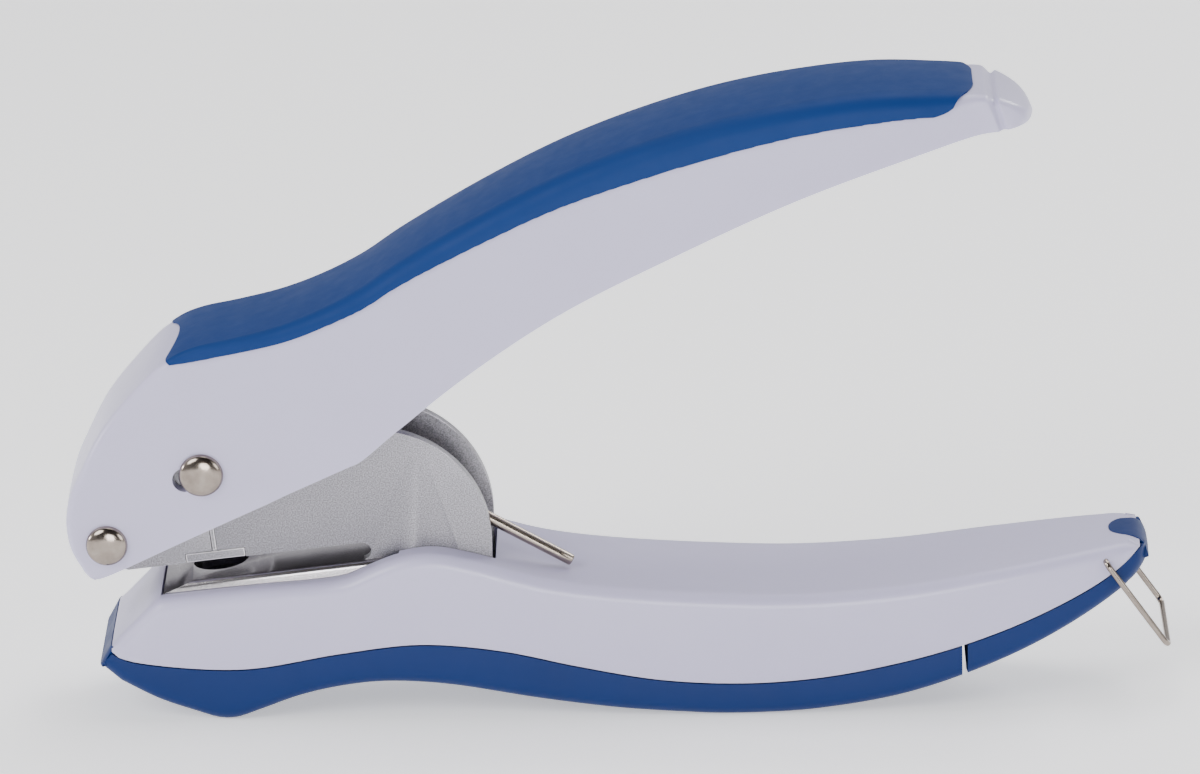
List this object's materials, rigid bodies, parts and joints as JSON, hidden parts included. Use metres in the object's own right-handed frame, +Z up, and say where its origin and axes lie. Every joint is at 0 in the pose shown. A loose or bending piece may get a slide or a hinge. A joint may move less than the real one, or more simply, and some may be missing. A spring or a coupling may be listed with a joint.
{
  "type": "one-hole hand punch",
  "caption": "Hand-held squeeze punch that cuts a round hole in paper, with a gripped handle, chip tray and wire lock bail.",
  "frame": {"origin": "centre of the footprint, on the plane the punch stands on", "axes": "+X from the nose to the tail, +Y away from the near side, +Z up"},
  "size_m": [0.127, 0.0186, 0.0745],
  "materials": {
    "pale_plastic": "satin moulded plastic",
    "blue_plastic": "satin moulded plastic",
    "blue_grip": "soft satin grip",
    "cast_silver": "fine-grained silver paint",
    "bright_steel": "bright nickel",
    "tool_steel": "ground steel",
    "spring_steel": "drawn wire",
    "zinc": "zinc plated"
  },
  "bodies": {
    "base": {"lower_handle_shell": "pale_plastic", "tail_cap": "blue_plastic", "tray_hinge_pin": "bright_steel", "frame_plate_near": "cast_silver", "frame_plate_far": "cast_silver", "frame_spacer": "cast_silver", "spacer_pins": "zinc", "frame_screws": "zinc", "die_plate": "tool_steel", "punch_guide": "cast_silver", "spring_pin": "zinc", "return_spring": "spring_steel"},
    "lever": {"upper_handle_shell": "pale_plastic", "upper_grip": "blue_grip", "pivot_rivet": "bright_steel", "pivot_rivet_washer": "bright_steel"},
    "ram": {"punch": "tool_steel", "drive_rivet": "bright_steel", "drive_rivet_washer": "bright_steel"},
    "bail": {"lock_bail": "bright_steel"},
    "tray": {"chip_tray": "blue_plastic"}
  },
  "joints": [
    {"name": "handle_hinge", "type": "hinge", "parent": "base", "child": "lever", "pos_m": [-0.0588, 0, 0.0217], "axis": [0, 1, 0], "range_deg": [0, 22.8], "stiffness_Nm_per_rad": 0.35, "springref_deg": -57.3},
    {"name": "punch_slide", "type": "slide", "parent": "base", "child": "ram", "axis": [0.108, 0, -0.9942], "range_m": [0, 0.00486], "deforming": ["return_spring"]},
    {"name": "bail_hinge", "type": "hinge", "parent": "base", "child": "bail", "pos_m": [0.056, 0, 0.0173], "axis": [0, 1, 0], "range_deg": [-150.5, 42]},
    {"name": "tray_hinge", "type": "hinge", "parent": "base", "child": "tray", "pos_m": [0.0386, 0, 0.0049], "axis": [0, -1, 0], "range_deg": [0, 60]}
  ],
  "couplings": [
    {"joint": "punch_slide", "follows": "handle_hinge", "m_per_rad": 0.0122}
  ]
}
